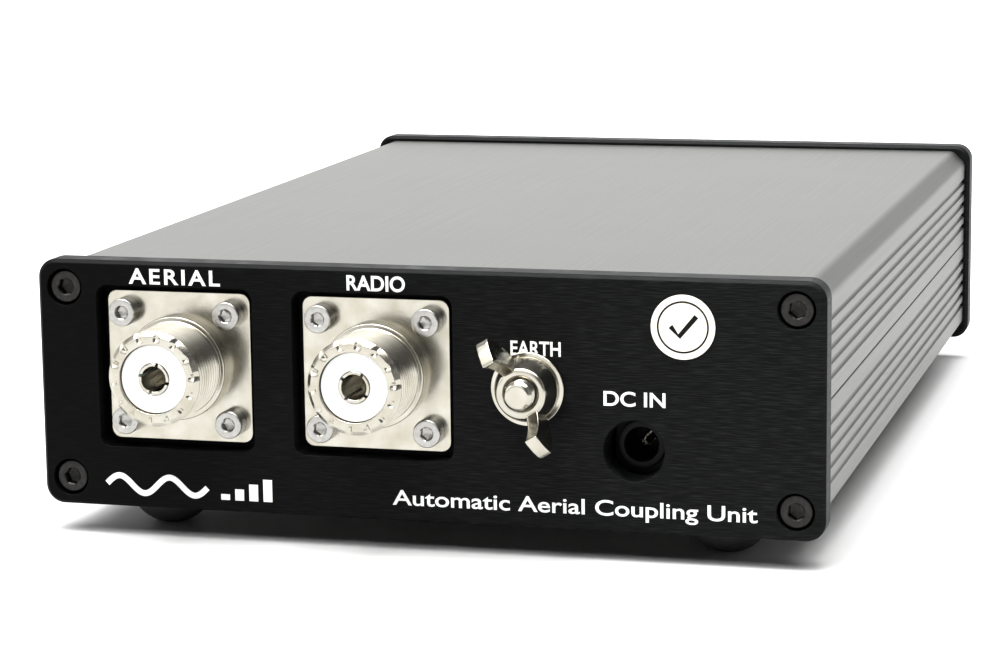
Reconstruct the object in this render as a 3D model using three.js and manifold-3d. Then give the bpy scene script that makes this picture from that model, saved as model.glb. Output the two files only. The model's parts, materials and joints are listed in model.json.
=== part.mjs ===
// Antenna tuner: a flat aluminium box of two extruded half shells between two black end plates.
// The connector plate carries two coaxial sockets, a ground terminal and a charging socket,
// and the control plate at the other end carries two push buttons and two lamps.
// Millimetres, +X to the right of the connector plate, +Y into the box, +Z up.
// The origin is the centre of the footprint, on the surface that the rubber feet stand on.
import * as THREE from 'three';
import { mergeVertices } from 'three/addons/utils/BufferGeometryUtils.js';
import Module from 'manifold-3d';

const wasm = await Module();
wasm.setup();

// ---- Driving dimensions ----

const plateWidth = 133.8;
const plateHeight = 42;
const plateThickness = 5.5;
const plateCorner = 3.2;
const plateChamfer = 0.6;
const plateOverhang = 1.1;
const boxLength = 196;
const contactGap = 0.03;

const caseHalfWidth = plateWidth / 2 - plateOverhang;
const caseHalfHeight = plateHeight / 2 - plateOverhang;
const caseCorner = 3;
const sideWall = 3;
const roofWall = 2;
const seamGap = 0.24;
const seamHeight = plateHeight / 2;

const grooveCount = 5;
const grooveFromSeam = 3.75;
const groovePitch = 2.43;
const grooveHalfWidth = 0.7;
const grooveDepth = 1;

const bossX = 62.1;
const bossFromSeam = 16.3;
const bossRadius = 3.3;
const screwChannelRadius = 1.6;

const plateScrew = { head: 2.75, height: 3, shank: 1.4, length: 12, key: 2.5, keyDepth: 1.4 };
const flangeScrew = { head: 2.25, height: 2.5, shank: 1.2, length: 5, key: 2, keyDepth: 1.2 };
const screwHeadEdge = 0.3;
const plateScrewHole = 1.7;
const counterboreRadius = 3.1;
const counterboreDepth = 3.6;

const railOuter = 58.2;
const railInner = 55.2;
const railSlotDepth = 1.5;
const railTop = 12.2;
const slotNear = 13.8;
const slotFar = 15.8;

const footHeight = 6;
const footDomeRadius = 7.6;
const footFlatRadius = 2.5;
const footX = 48.8;
const footFromPlate = 13;

const socketX = { antenna: -42.65, radio: -8.15 };
const socketZ = 24.1;
const pocketWidth = 27.5;
const pocketCorner = 2;
const pocketDepth = 3.93;
const flangeFaceY = 2.3;
const flangeWidth = 25.4;
const flangeCorner = 1.7;
const flangeThickness = 1.6;
const flangeScrewOffset = 9.2;
const flangeScrewHole = 1.6;
const tappedHole = 1.4;
const barrelLength = 12.5;
const shoulderRadius = 8.75;
const shoulderLength = 2.3;
const threadRadius = 7.95;
const threadEndRadius = 7.2;
const threadEndLength = 0.8;
const spigotRadius = 6.3;
const spigotEnd = 6;
const spigotClearance = 0.5;
const socketBore = 5.8;
const insulatorRadius = 5.6;
const insulatorFront = 11.9;
const insulatorEnd = 7.6;
const insulatorBore = 2.85;
const contactRadius = 2.65;
const contactBore = 2.1;
const contactFront = 12.1;
const contactBoreEnd = 1;
const contactBodyEnd = 8.4;
const contactTailRadius = 1.5;
const contactTailEnd = 12;
const contactSlotWidth = 0.5;
const contactSlotLength = 8;
const contactTurn = { antenna: THREE.MathUtils.degToRad(15), radio: THREE.MathUtils.degToRad(35) };

const groundX = 18.36;
const groundZ = 23.2;
const studRadius = 2.4;
const studReach = 7.5;
const studChamfer = 0.45;
const studHeadRadius = 4.4;
const studHeadThickness = 3.3;
const studClearance = 0.3;
const lugThickness = 0.8;
const lugRadius = 4.6;
const lugLength = 13;
const lugTailHalfWidth = 2;
const washerRadius = 6.1;
const washerBore = 2.75;
const washerThickness = 1;
const washerEdge = 0.2;
const nutBaseRadius = 5.3;
const nutFrontRadius = 4.05;
const nutRim = 0.8;
const nutFrontReach = 5.3;
const nutBore = 2.65;
const wingReach = 12;
const wingThickness = 2.2;
const wingAngle = THREE.MathUtils.degToRad(120);

// The wing's two long edges, as [distance from the nut's axis, y].
const wingRoot = [3.4, -1.9];
const wingOuterEdge = [[4.4, -1.9], [6.2, -2.9], [8.7, -5.4], [10.2, -7.9], [10.5, -9.1]];
const wingTip = [[10, -9.9], [8.75, -11], [7.3, -11.8]];
const wingInnerEdge = [[6.7, -wingReach], [6.3, -10.4], [5.2, -7.4], [3.4, -4.9]];

const chargerX = 35.78;
const chargerZ = 13.5;
const chargerHoleRadius = 5;
const jackNoseRadius = 4;
const jackNoseFace = 5.6;
const jackBodyFace = 7.2;
const jackBodyWidth = 9.4;
const jackBodyEnd = 19;
const jackTop = 19;
const jackBore = 2.8;
const jackBoreEnd = 15;
const jackPinRadius = 1;
const jackPinTip = 6.5;
const jackPinEnd = 17.5;
const jackPinEdge = 0.3;
const jackPinClearance = 0.2;

const stickerX = 43.88;
const stickerZ = 34.07;
const stickerRadius = 5.25;
const stickerThickness = 0.15;

const boardTop = 7;
const boardThickness = 1.6;
const boardHalfWidth = 56.4;
const boardFront = 9;
const boardEnd = 175.5;
const controlBoardHalfWidth = 42;
const controlBoardTop = 35;
const boardsApart = 0.5;

const relayWidth = 10.5;
const relayDepth = 20;
const relayHeight = 11;
const relayCorner = 0.6;
const relayColumns = [-47, -32];
const relayRows = [64, 90, 116];

const coilX = -7;
const coilRows = [62, 93, 124];
const coilRadius = 9.4;
const coilSection = 4.6;
const sensorY = 32;
const sensorRadius = 5;
const sensorSection = 2.5;

const leadRadius = 0.8;
const leadGap = 0.3;
const leadLevel = boardTop + sensorRadius + sensorSection;

const cellX = [27.5, 45.6];
const cellRadius = 9.2;
const cellsFrom = 92;
const cellsTo = 158;

const chipX = 37;
const chipY = 59;
const chipWidth = 14;
const chipHeight = 2.2;

const buttonReach = 3;
const buttonX = { tune: -24, power: 24 };
const buttonRadius = 4;
const buttonHoleRadius = 4.3;
const buttonCollarRadius = 5.2;
const buttonCollarThickness = 1.2;
const buttonStemRadius = 1.5;
const buttonTravel = 1.8;
const buttonEdge = 0.5;
const buttonSlack = 0.4;
const collarClearance = 0.3;
const switchWidth = 12;
const switchDepth = 5.8;
const lampX = [-5, 5];
const lampRadius = 1.5;
const lampHoleRadius = 1.65;
const lampReach = 0.8;
const lampCollarRadius = 1.9;

const frontY = wingReach - (wingReach + boxLength + buttonReach) / 2;
const plateBottomZ = footHeight - plateOverhang;

// ---- Finishes ----

const finishes = {
  silverAluminium: { color: 0xbdbeb9, roughness: 0.38, metalness: 0.85 },
  blackAluminium: { color: 0x1e1e1f, roughness: 0.45, metalness: 0.4 },
  blackSteel: { color: 0x241f1c, roughness: 0.35, metalness: 0.8 },
  stainlessSteel: { color: 0xc9c7c0, roughness: 0.25, metalness: 1 },
  nickelPlate: { color: 0xd8d2c4, roughness: 0.22, metalness: 1 },
  whiteInsulator: { color: 0xf1efe8, roughness: 0.4, metalness: 0 },
  blackPlastic: { color: 0x101011, roughness: 0.4, metalness: 0 },
  blackRubber: { color: 0x1b1b1b, roughness: 0.8, metalness: 0 },
  whiteSticker: { color: 0xf4f3ee, roughness: 0.5, metalness: 0 },
  greenBoard: { color: 0x1d5b34, roughness: 0.5, metalness: 0 },
  blueSleeve: { color: 0x2b5fa8, roughness: 0.4, metalness: 0 },
  relayCase: { color: 0xe4dfd0, roughness: 0.5, metalness: 0 },
  ironPowder: { color: 0xb0352a, roughness: 0.6, metalness: 0 },
  redLamp: { color: 0xc22a20, roughness: 0.2, metalness: 0 },
  greenLamp: { color: 0x2fae4a, roughness: 0.2, metalness: 0 },
  redWire: { color: 0x9c2a22, roughness: 0.5, metalness: 0 },
};

// ---- Solids ----

const mergeTolerance = 1e-4;
const overcut = 1;

// Shares a closed geometry's vertices and drops the triangles that collapse on an axis.
function closedMesh(geometry) {
  const bare = geometry.clone();
  bare.deleteAttribute('normal');
  bare.deleteAttribute('uv');
  const merged = mergeVertices(bare, mergeTolerance);
  const kept = [];
  for (let i = 0; i < merged.index.count; i += 3) {
    const corners = [merged.index.getX(i), merged.index.getX(i + 1), merged.index.getX(i + 2)];
    if (new Set(corners).size === 3) kept.push(...corners);
  }
  merged.setIndex(kept);
  return merged;
}

function solid(geometry) {
  const mesh = closedMesh(geometry);
  return new wasm.Manifold(new wasm.Mesh({
    numProp: 3,
    vertProperties: new Float32Array(mesh.attributes.position.array),
    triVerts: new Uint32Array(mesh.index.array),
  }));
}

function geometryOf(manifold) {
  const mesh = manifold.getMesh();
  const geometry = new THREE.BufferGeometry();
  geometry.setAttribute('position', new THREE.BufferAttribute(mesh.vertProperties, 3));
  geometry.setIndex(new THREE.BufferAttribute(mesh.triVerts, 1));
  return geometry;
}

function cut(body, tools) {
  return tools.reduce((left, tool) => left.subtract(tool), body);
}

function arc(x, y, radiusX, radiusY, from, to, steps) {
  const points = [];
  for (let i = 0; i <= steps; i += 1) {
    const angle = from + ((to - from) * i) / steps;
    points.push(new THREE.Vector2(x + radiusX * Math.cos(angle), y + radiusY * Math.sin(angle)));
  }
  return points;
}

// A cylinder along Y.
function rod(x, z, radius, fromY, toY, sides = 24) {
  const geometry = new THREE.CylinderGeometry(radius, radius, toY - fromY, sides);
  return geometry.translate(x, (fromY + toY) / 2, z);
}

function block(fromX, toX, fromY, toY, fromZ, toZ) {
  const geometry = new THREE.BoxGeometry(toX - fromX, toY - fromY, toZ - fromZ);
  return geometry.translate((fromX + toX) / 2, (fromY + toY) / 2, (fromZ + toZ) / 2);
}

// A shape drawn in X and Z, standing from fromY to toY.
function slab(shape, fromY, toY, options = {}) {
  const settings = { depth: toY - fromY, bevelEnabled: false, ...options };
  const geometry = new THREE.ExtrudeGeometry(shape, settings);
  return geometry.rotateX(Math.PI / 2).translate(0, toY, 0);
}

function roundedRectangle(width, height, radius) {
  const x = width / 2;
  const z = height / 2;
  const shape = new THREE.Shape();
  shape.absarc(x - radius, z - radius, radius, 0, Math.PI / 2);
  shape.absarc(radius - x, z - radius, radius, Math.PI / 2, Math.PI);
  shape.absarc(radius - x, radius - z, radius, Math.PI, 1.5 * Math.PI);
  shape.absarc(x - radius, radius - z, radius, 1.5 * Math.PI, 2 * Math.PI);
  return shape;
}

// A solid of revolution about Y. Points are [radius, y], with the solid on the left of the path.
function turned(points, sides = 32) {
  return new THREE.LatheGeometry(points.map(([radius, y]) => new THREE.Vector2(radius, y)), sides);
}

// A hexagonal key recess along Y, sized across its flats.
function hexRecess(x, z, acrossFlats, fromY, toY) {
  return rod(x, z, acrossFlats / Math.sqrt(3), fromY, toY, 6);
}

function part(name, geometry, finish) {
  const mesh = new THREE.Mesh(closedMesh(geometry), new THREE.MeshStandardMaterial(finish));
  mesh.name = name;
  return mesh;
}

// ---- Case ----

// Half of the case's section, drawn with the seam at the bottom. Both halves share it.
function shellSection() {
  const top = caseHalfHeight;
  const wallX = caseHalfWidth - sideWall;
  const roof = top - roofWall;
  const seam = seamGap / 2;
  const outer = [new THREE.Vector2(caseHalfWidth, seam)];
  for (let i = 0; i < grooveCount; i += 1) {
    const middle = grooveFromSeam + i * groovePitch;
    outer.push(...arc(
      caseHalfWidth, middle, grooveDepth, grooveHalfWidth, 1.5 * Math.PI, 0.5 * Math.PI, 6,
    ));
  }
  const corner = arc(caseHalfWidth - caseCorner, top - caseCorner, caseCorner, caseCorner, 0, Math.PI / 2, 6);
  outer.push(...corner);

  const bossFrom = -Math.acos((wallX - bossX) / bossRadius);
  const bossTo = -2 * Math.PI + (Math.PI - Math.asin((roof - bossFromSeam) / bossRadius));
  const inner = [new THREE.Vector2(wallX, seam)];
  inner.push(...arc(bossX, bossFromSeam, bossRadius, bossRadius, bossFrom, bossTo, 8));
  const rail = [
    [railOuter, roof], [railOuter, railTop], [railInner, railTop], [railInner, slotNear],
    [railInner + railSlotDepth, slotNear], [railInner + railSlotDepth, slotFar],
    [railInner, slotFar], [railInner, roof],
  ];
  inner.push(...rail.map(([x, z]) => new THREE.Vector2(x, z)));

  const mirrored = (points) => points.map((point) => new THREE.Vector2(-point.x, point.y));
  const outline = [
    ...outer, ...mirrored(outer).reverse(), ...mirrored(inner), ...inner.slice().reverse(),
  ];
  const shape = new THREE.Shape(outline);
  for (const side of [-1, 1]) {
    const radius = screwChannelRadius;
    const channel = arc(side * bossX, bossFromSeam, radius, radius, 0, 2 * Math.PI, 12);
    shape.holes.push(new THREE.Path(channel.slice(0, -1)));
  }
  return shape;
}

function caseShells() {
  const from = plateThickness + contactGap;
  const to = boxLength - plateThickness - contactGap;
  const extrusion = slab(shellSection(), from, to);
  const upper = part('case_upper_shell', extrusion, finishes.silverAluminium);
  const lower = part('case_lower_shell', extrusion, finishes.silverAluminium);
  upper.position.z = seamHeight;
  lower.position.z = seamHeight;
  lower.rotation.y = Math.PI;
  return [upper, lower];
}

function feet() {
  const group = new THREE.Group();
  const top = footHeight - contactGap;
  const middle = Math.sqrt(footDomeRadius ** 2 - footFlatRadius ** 2);
  const from = -Math.asin(middle / footDomeRadius);
  const to = Math.asin((top - middle) / footDomeRadius);
  const dome = arc(0, middle, footDomeRadius, footDomeRadius, from, to, 6).map((point) => [point.x, point.y]);
  const profile = [[0, 0], ...dome, [0, top]];
  const places = {
    front_left_foot: [-footX, footFromPlate],
    front_right_foot: [footX, footFromPlate],
    rear_left_foot: [-footX, boxLength - footFromPlate],
    rear_right_foot: [footX, boxLength - footFromPlate],
  };
  for (const [name, [x, y]] of Object.entries(places)) {
    const foot = part(name, turned(profile, 20).rotateX(Math.PI / 2), finishes.blackRubber);
    foot.position.set(x, y, -plateBottomZ);
    group.add(foot);
  }
  return group;
}

// ---- End plates and their screws ----

const cornerPlaces = [[-1, 1], [1, 1], [-1, -1], [1, -1]];
const cornerNames = ['upper_left', 'upper_right', 'lower_left', 'lower_right'];

function blankPlate() {
  const shape = roundedRectangle(plateWidth, plateHeight, plateCorner);
  const bevel = {
    depth: plateThickness - 2 * plateChamfer,
    curveSegments: 3,
    bevelEnabled: true,
    bevelSegments: 1,
    bevelThickness: plateChamfer,
    bevelSize: plateChamfer,
    bevelOffset: -plateChamfer,
  };
  const plate = slab(shape, 0, plateThickness, bevel).translate(0, -plateChamfer, plateHeight / 2);
  const tools = cornerPlaces.flatMap(([x, z]) => [
    rod(x * bossX, seamHeight + z * bossFromSeam, counterboreRadius, -overcut, counterboreDepth, 20),
    rod(x * bossX, seamHeight + z * bossFromSeam, plateScrewHole, -overcut, plateThickness + overcut, 12),
  ]);
  return cut(solid(plate), tools.map(solid));
}

function connectorPlate() {
  const tools = [];
  for (const x of Object.values(socketX)) {
    const outline = roundedRectangle(pocketWidth, pocketWidth, pocketCorner);
    const pocket = slab(outline, -overcut, pocketDepth, { curveSegments: 2 });
    tools.push(pocket.translate(x, 0, socketZ));
    tools.push(rod(x, socketZ, spigotRadius + spigotClearance, -overcut, plateThickness + overcut));
    for (const [i, k] of cornerPlaces) {
      const screwX = x + i * flangeScrewOffset;
      const screwZ = socketZ + k * flangeScrewOffset;
      tools.push(rod(screwX, screwZ, tappedHole, -overcut, plateThickness + overcut, 12));
    }
  }
  tools.push(rod(groundX, groundZ, studRadius + studClearance, -overcut, plateThickness + overcut));
  tools.push(rod(chargerX, chargerZ, chargerHoleRadius, -overcut, plateThickness + overcut, 32));
  const plate = cut(blankPlate(), tools.map(solid));
  return part('connector_plate', geometryOf(plate), finishes.blackAluminium);
}

// The same blank, turned end for end, with holes for the buttons and lamps.
function controlPlate() {
  const through = plateThickness + overcut;
  const holes = [
    ...Object.values(buttonX).map((x) => rod(x, seamHeight, buttonHoleRadius, -overcut, through)),
    ...lampX.map((x) => rod(x, seamHeight, lampHoleRadius, -overcut, through, 12)),
  ];
  const blank = cut(blankPlate(), holes.map(solid));
  const plate = part('control_plate', geometryOf(blank), finishes.blackAluminium);
  plate.rotation.z = Math.PI;
  plate.position.y = boxLength;
  return plate;
}

// A socket-head cap screw along +Y, with the seat of its head at y = 0.
function capScrew(name, size, finish) {
  const profile = [
    [0, -size.height], [size.head - screwHeadEdge, -size.height], [size.head, screwHeadEdge - size.height],
    [size.head, -contactGap], [size.shank, -contactGap], [size.shank, size.length], [0, size.length],
  ];
  const recess = hexRecess(0, 0, size.key, -size.height - overcut, size.keyDepth - size.height);
  return part(name, geometryOf(cut(solid(turned(profile, 12)), [solid(recess)])), finish);
}

function plateScrews() {
  const group = new THREE.Group();
  cornerPlaces.forEach(([x, z], i) => {
    const place = [x * bossX, seamHeight + z * bossFromSeam];
    const near = capScrew(`connector_plate_screw_${cornerNames[i]}`, plateScrew, finishes.blackSteel);
    near.position.set(place[0], counterboreDepth, place[1]);
    const far = capScrew(`control_plate_screw_${cornerNames[i]}`, plateScrew, finishes.blackSteel);
    far.rotation.z = Math.PI;
    far.position.set(place[0], boxLength - counterboreDepth, place[1]);
    group.add(near, far);
  });
  return group;
}

// ---- Coaxial sockets ----

// Local y = 0 is the front face of the flange, and the barrel points towards -Y.
function coaxialSocket(name, x) {
  const group = new THREE.Group();
  group.position.set(x, flangeFaceY, socketZ);

  const outline = roundedRectangle(flangeWidth, flangeWidth, flangeCorner);
  const flange = slab(outline, 0, flangeThickness, { curveSegments: 2 });
  const barrel = turned([
    [0, -barrelLength], [threadEndRadius, -barrelLength], [threadRadius, threadEndLength - barrelLength],
    [threadRadius, -shoulderLength], [shoulderRadius, -shoulderLength], [shoulderRadius, flangeThickness / 2],
    [spigotRadius, flangeThickness / 2], [spigotRadius, spigotEnd], [0, spigotEnd],
  ]);
  const tools = [rod(0, 0, socketBore, -barrelLength - overcut, spigotEnd + overcut, 32)];
  for (const [i, k] of cornerPlaces) {
    const [screwX, screwZ] = [i * flangeScrewOffset, k * flangeScrewOffset];
    tools.push(rod(screwX, screwZ, flangeScrewHole, -overcut, flangeThickness + overcut, 12));
  }
  const shell = cut(solid(flange).add(solid(barrel)), tools.map(solid));
  group.add(part(`${name}_socket_shell`, geometryOf(shell), finishes.nickelPlate));

  const insulator = turned([
    [insulatorBore, -insulatorFront], [insulatorRadius, -insulatorFront], [insulatorRadius, insulatorEnd],
    [insulatorBore, insulatorEnd], [insulatorBore, -insulatorFront],
  ], 24);
  group.add(part(`${name}_socket_insulator`, insulator, finishes.whiteInsulator));

  const contact = turned([
    [0, -contactBoreEnd], [contactBore, -contactBoreEnd], [contactBore, -contactFront],
    [contactRadius, -contactFront], [contactRadius, contactBodyEnd], [contactTailRadius, contactBodyEnd],
    [contactTailRadius, contactTailEnd], [0, contactTailEnd],
  ], 20);
  const slotFrom = -contactFront - overcut;
  const slotTo = contactSlotLength - contactFront;
  const half = contactSlotWidth / 2;
  const slots = [
    block(-half, half, slotFrom, slotTo, -contactRadius - overcut, contactRadius + overcut),
    block(-contactRadius - overcut, contactRadius + overcut, slotFrom, slotTo, -half, half),
  ];
  const split = cut(solid(contact), slots.map(solid));
  const fingers = part(`${name}_socket_contact`, geometryOf(split), finishes.nickelPlate);
  fingers.rotation.y = contactTurn[name];
  group.add(fingers);

  cornerPlaces.forEach(([i, k], n) => {
    const screw = capScrew(`${name}_socket_screw_${cornerNames[n]}`, flangeScrew, finishes.stainlessSteel);
    screw.position.set(i * flangeScrewOffset, 0, k * flangeScrewOffset);
    group.add(screw);
  });
  return group;
}

// ---- Ground terminal ----

function groundTerminal() {
  const group = new THREE.Group();
  group.position.set(groundX, 0, groundZ);

  const headFrom = plateThickness + lugThickness + 2 * contactGap;
  const shank = turned([
    [0, -studReach], [studRadius - studChamfer, -studReach], [studRadius, studChamfer - studReach],
    [studRadius, headFrom + studHeadThickness / 2], [0, headFrom + studHeadThickness / 2],
  ], 24);
  const head = hexRecess(0, 0, 2 * studHeadRadius, headFrom, headFrom + studHeadThickness);
  group.add(part('ground_stud', geometryOf(solid(shank).add(solid(head))), finishes.nickelPlate));

  const lugFrom = plateThickness + contactGap;
  const ring = rod(0, 0, lugRadius, lugFrom, lugFrom + lugThickness);
  const lugTo = lugFrom + lugThickness;
  const tail = block(-lugTailHalfWidth, lugTailHalfWidth, lugFrom, lugTo, -lugLength, -lugRadius / 2);
  const lugHole = rod(0, 0, studRadius + studClearance, lugFrom - overcut, lugTo + overcut);
  const lug = cut(solid(ring).add(solid(tail)), [solid(lugHole)]);
  group.add(part('ground_lug', geometryOf(lug), finishes.nickelPlate));

  const washer = turned([
    [washerBore, -washerThickness - contactGap], [washerRadius - washerEdge, -washerThickness - contactGap],
    [washerRadius, washerEdge - washerThickness], [washerRadius, -contactGap], [washerBore, -contactGap],
    [washerBore, -washerThickness - contactGap],
  ], 28);
  group.add(part('ground_washer', washer, finishes.nickelPlate));
  group.add(wingNut());
  return group;
}

function wingNut() {
  const base = -washerThickness - 3 * contactGap;
  const hub = turned([
    [nutBore, -nutFrontReach], [nutFrontRadius, -nutFrontReach], [nutBaseRadius, base - nutRim],
    [nutBaseRadius, base], [nutBore, base], [nutBore, -nutFrontReach],
  ]);
  const points = (pairs) => pairs.map(([radius, y]) => new THREE.Vector2(radius, y));
  const curved = (pairs) => new THREE.SplineCurve(points(pairs)).getPoints(8);
  const outline = [
    ...points([wingRoot]), ...curved(wingOuterEdge), ...points(wingTip), ...curved(wingInnerEdge),
  ];
  const plate = { depth: wingThickness, bevelEnabled: false };
  const wing = new THREE.ExtrudeGeometry(new THREE.Shape(outline), plate);
  wing.translate(0, 0, -wingThickness / 2);
  const opposite = wing.clone().rotateY(Math.PI);
  const body = solid(hub).add(solid(wing)).add(solid(opposite));
  const nut = part('wing_nut', geometryOf(body), finishes.nickelPlate);
  nut.rotation.y = -wingAngle;
  return nut;
}

// ---- Charging socket and sticker ----

function chargingSocket() {
  const group = new THREE.Group();
  group.position.set(chargerX, 0, chargerZ);
  const half = jackBodyWidth / 2;
  const [bottom, top] = [boardTop + contactGap - chargerZ, jackTop - chargerZ];
  const box = block(-half, half, jackBodyFace, jackBodyEnd, bottom, top);
  const nose = rod(0, 0, jackNoseRadius, jackNoseFace, jackBodyFace + overcut, 32);
  const bore = rod(0, 0, jackBore, jackNoseFace - overcut, jackBoreEnd, 24);
  const pinHole = rod(
    0, 0, jackPinRadius + jackPinClearance, jackBoreEnd - overcut, jackPinEnd + jackPinClearance, 12,
  );
  const body = cut(solid(box).add(solid(nose)), [solid(bore), solid(pinHole)]);
  group.add(part('charger_jack_body', geometryOf(body), finishes.blackPlastic));

  const pin = turned([
    [0, jackPinTip], [jackPinRadius - jackPinEdge, jackPinTip], [jackPinRadius, jackPinTip + jackPinEdge],
    [jackPinRadius, jackPinEnd], [0, jackPinEnd],
  ], 12);
  group.add(part('charger_jack_pin', pin, finishes.nickelPlate));
  return group;
}

function roundSticker() {
  const disc = rod(stickerX, stickerZ, stickerRadius, -stickerThickness - contactGap, -contactGap, 32);
  return part('round_sticker', disc, finishes.whiteSticker);
}

// ---- Circuit ----

function boards() {
  const bottom = boardTop - boardThickness;
  const face = boardEnd + boardsApart;
  const main = block(-boardHalfWidth, boardHalfWidth, boardFront, boardEnd, bottom, boardTop);
  const control = block(
    -controlBoardHalfWidth, controlBoardHalfWidth, face, face + boardThickness, bottom, controlBoardTop,
  );
  return [
    part('main_board', main, finishes.greenBoard),
    part('control_board', control, finishes.greenBoard),
  ];
}

function relays() {
  const casing = roundedRectangle(relayWidth, relayDepth, relayCorner);
  return relayColumns.flatMap((x, i) => relayRows.map((y, k) => {
    const settings = { depth: relayHeight, bevelEnabled: false, curveSegments: 2 };
    const body = new THREE.ExtrudeGeometry(casing, settings);
    const relay = part(`relay_${i * relayRows.length + k + 1}`, body, finishes.relayCase);
    relay.position.set(x, y, boardTop + contactGap);
    return relay;
  }));
}

function coils() {
  const group = new THREE.Group();
  coilRows.forEach((y, i) => {
    const core = new THREE.TorusGeometry(coilRadius, coilSection, 6, 16);
    const coil = part(`matching_coil_${i + 1}`, core, finishes.ironPowder);
    coil.position.set(coilX, y, boardTop + coilSection + contactGap);
    group.add(coil);
  });
  const ring = new THREE.TorusGeometry(sensorRadius, sensorSection, 6, 14).rotateX(Math.PI / 2);
  const sensor = part('power_sensor_coil', ring, finishes.ironPowder);
  sensor.position.set(socketX.radio, sensorY, leadLevel + contactGap);
  group.add(sensor);
  return group;
}

// An insulated lead from a socket's solder tail down to the main board.
function leads() {
  return Object.entries(socketX).map(([name, x]) => {
    const tail = flangeFaceY + contactTailEnd + leadGap;
    const route = new THREE.CatmullRomCurve3([
      [tail, socketZ], [tail + 3, socketZ - 1.5], [tail + 8, leadLevel + 3], [tail + 13, leadLevel],
      [sensorY + 6, leadLevel], [sensorY + 10, leadLevel - 2.5], [sensorY + 11.5, boardTop + leadGap],
    ].map(([y, z]) => new THREE.Vector3(x, y, z)));
    const section = new THREE.Shape(arc(0, 0, leadRadius, leadRadius, 0, 2 * Math.PI, 6).slice(0, -1));
    const wire = new THREE.ExtrudeGeometry(section, { steps: 12, extrudePath: route });
    return part(`${name}_lead`, wire, finishes.redWire);
  });
}

function batteryPack() {
  const cellZ = boardTop + cellRadius + contactGap;
  const cells = cellX.map((x) => solid(rod(x, cellZ, cellRadius, cellsFrom, cellsTo, 24)));
  return part('battery_pack', geometryOf(cells[0].add(cells[1])), finishes.blueSleeve);
}

function controllerChip() {
  const half = chipWidth / 2;
  const [bottom, top] = [boardTop + contactGap, boardTop + chipHeight];
  const chip = block(chipX - half, chipX + half, chipY - half, chipY + half, bottom, top);
  return part('controller_chip', chip, finishes.blackPlastic);
}

// ---- Controls ----

function buttonsAndLamps() {
  const group = new THREE.Group();
  group.position.set(0, 0, seamHeight);
  const plateBack = boxLength - plateThickness;
  const collarFace = plateBack - collarClearance;
  const collarBack = collarFace - buttonCollarThickness;
  const switchBack = boardEnd + boardsApart + boardThickness + contactGap;
  const switchFace = switchBack + switchDepth;
  const stemEnd = switchFace + buttonTravel + buttonSlack;
  const capEnd = boxLength + buttonReach;

  for (const [name, x] of Object.entries(buttonX)) {
    const cap = turned([
      [0, stemEnd], [buttonStemRadius, stemEnd], [buttonStemRadius, collarBack],
      [buttonCollarRadius, collarBack], [buttonCollarRadius, collarFace],
      [buttonRadius, collarFace], [buttonRadius, capEnd - buttonEdge],
      [buttonRadius - buttonEdge, capEnd], [0, capEnd],
    ], 20);
    const button = part(`${name}_button`, cap, finishes.blackPlastic);
    button.position.x = x;
    const half = switchWidth / 2;
    const casing = block(-half, half, switchBack, switchFace, -half, half);
    const body = part(`${name}_switch`, casing, finishes.blackPlastic);
    body.position.x = x;
    group.add(button, body);
  }

  const lampEnd = boxLength + lampReach;
  const curve = arc(0, lampEnd - lampRadius, lampRadius, lampRadius, 0, Math.PI / 2, 3);
  const dome = [...curve.slice(0, -1).map((point) => [point.x, point.y]), [0, lampEnd]];
  const colours = { transmit_lamp: finishes.redLamp, ready_lamp: finishes.greenLamp };
  Object.entries(colours).forEach(([name, finish], i) => {
    const body = turned([
      [0, switchBack], [lampRadius, switchBack], [lampRadius, collarBack], [lampCollarRadius, collarBack],
      [lampCollarRadius, collarFace], [lampRadius, collarFace], ...dome,
    ], 12);
    const lamp = part(name, body, finish);
    lamp.position.x = lampX[i];
    group.add(lamp);
  });
  return group;
}

// ---- Assembly ----

const tuner = new THREE.Group();
tuner.position.set(0, frontY, plateBottomZ);
tuner.add(
  ...caseShells(), feet(), connectorPlate(), controlPlate(), plateScrews(),
  coaxialSocket('antenna', socketX.antenna), coaxialSocket('radio', socketX.radio),
  groundTerminal(), chargingSocket(), roundSticker(),
  ...boards(), ...relays(), coils(), ...leads(), batteryPack(), controllerChip(), buttonsAndLamps(),
);

export default tuner;
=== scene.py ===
import json
import math
import random

import bmesh
import bpy
from mathutils import Matrix, Vector


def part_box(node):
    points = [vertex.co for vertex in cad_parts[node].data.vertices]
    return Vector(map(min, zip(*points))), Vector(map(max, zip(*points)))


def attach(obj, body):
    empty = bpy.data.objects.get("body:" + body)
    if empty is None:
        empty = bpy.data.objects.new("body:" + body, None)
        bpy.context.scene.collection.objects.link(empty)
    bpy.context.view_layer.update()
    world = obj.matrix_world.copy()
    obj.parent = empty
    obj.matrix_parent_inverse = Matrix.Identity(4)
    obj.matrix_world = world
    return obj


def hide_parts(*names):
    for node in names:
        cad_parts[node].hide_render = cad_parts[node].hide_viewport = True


# The looks of a desktop antenna tuner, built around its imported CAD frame.
# Sizes are in millimetres in the row frame and become metres where a mesh is made.
# The connector plate faces -Y, the control plate faces +Y, and +Z is up.
# A round part's plain name, such as WASHER, is its radius. FACES say where its two ends are,
# in Y from the connector plate's front.

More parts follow.
